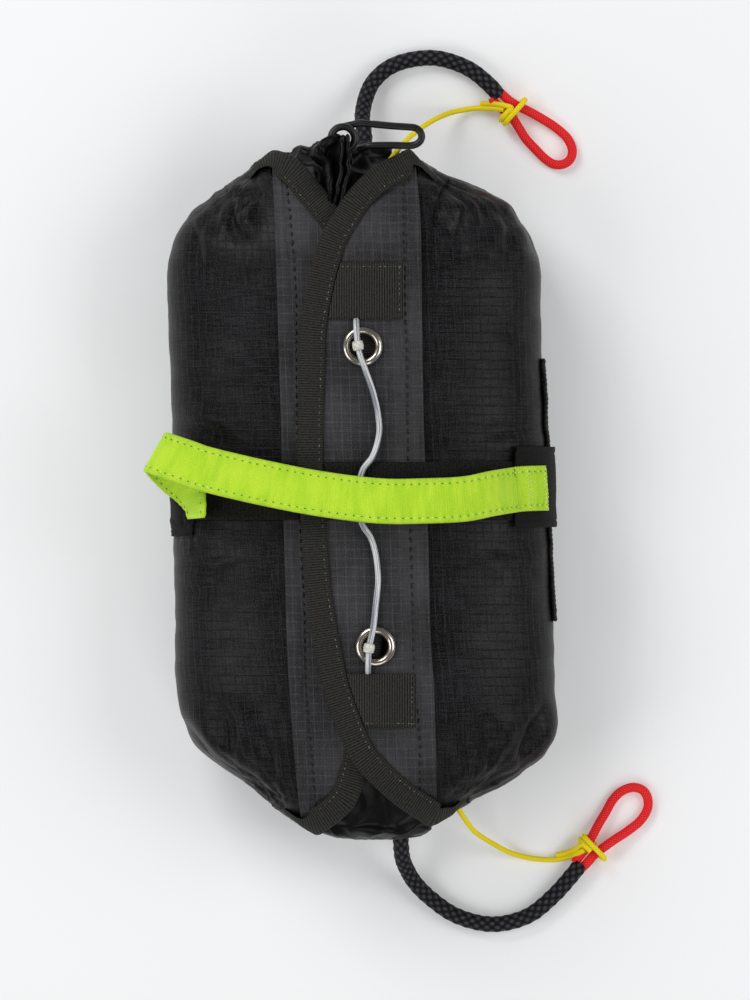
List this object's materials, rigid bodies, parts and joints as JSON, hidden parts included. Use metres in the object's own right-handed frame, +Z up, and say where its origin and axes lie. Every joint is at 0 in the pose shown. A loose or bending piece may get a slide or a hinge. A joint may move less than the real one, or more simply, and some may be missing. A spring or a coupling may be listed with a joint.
{
  "type": "packed reserve parachute",
  "caption": "Reserve parachute packed in a black two-flap cloth container with a green pull handle, clear cord through nickel eyelets, wire hook and short bridle ropes with red loops.",
  "frame": {"origin": "on the surface that the pack lies on, under the middle of the pack", "axes": "+Y along the pack towards the hook end, +X across it towards the pad where the handle is sewn on, +Z up from the back it lies on to the flaps"},
  "size_m": [0.2819, 0.4891, 0.1165],
  "materials": {
    "ripstop": "satin ripstop nylon",
    "facing_cloth": "satin ripstop nylon, doubled",
    "crumpled_cloth": "slightly glossy light nylon",
    "black_tape": "matt ribbed tape",
    "black_webbing": "matt coarse webbing",
    "green_strap": "matt woven strap",
    "nickel": "satin nickel",
    "black_wire": "matt black",
    "clear_line": "clear, slightly milky",
    "white_bead": "satin",
    "black_rope": "coarse braid",
    "red_cord": "fine braid",
    "yellow_cord": "fine braid"
  },
  "bodies": {
    "root": {"inner_pack": "crumpled_cloth", "left_panel": "ripstop", "right_panel": "ripstop", "left_facing": "facing_cloth", "right_facing": "facing_cloth", "left_binding": "black_tape", "right_binding": "black_tape", "top_patch": "black_tape", "bottom_patch": "black_tape", "top_eyelet": "nickel", "bottom_eyelet": "nickel", "left_band": "black_webbing", "right_band": "black_webbing", "left_tab": "black_webbing", "right_pad": "black_webbing", "side_strip": "black_webbing", "handle": "green_strap", "hook": "black_wire", "hook_loop": "crumpled_cloth", "clear_cord": "clear_line", "top_bead": "white_bead", "bottom_bead": "white_bead", "top_rope": "black_rope", "bottom_rope": "black_rope", "top_eye": "red_cord", "bottom_eye": "red_cord", "top_yellow_cord": "yellow_cord", "bottom_yellow_cord": "yellow_cord", "top_knot": "yellow_cord", "bottom_knot": "yellow_cord"}
  },
  "joints": []
}
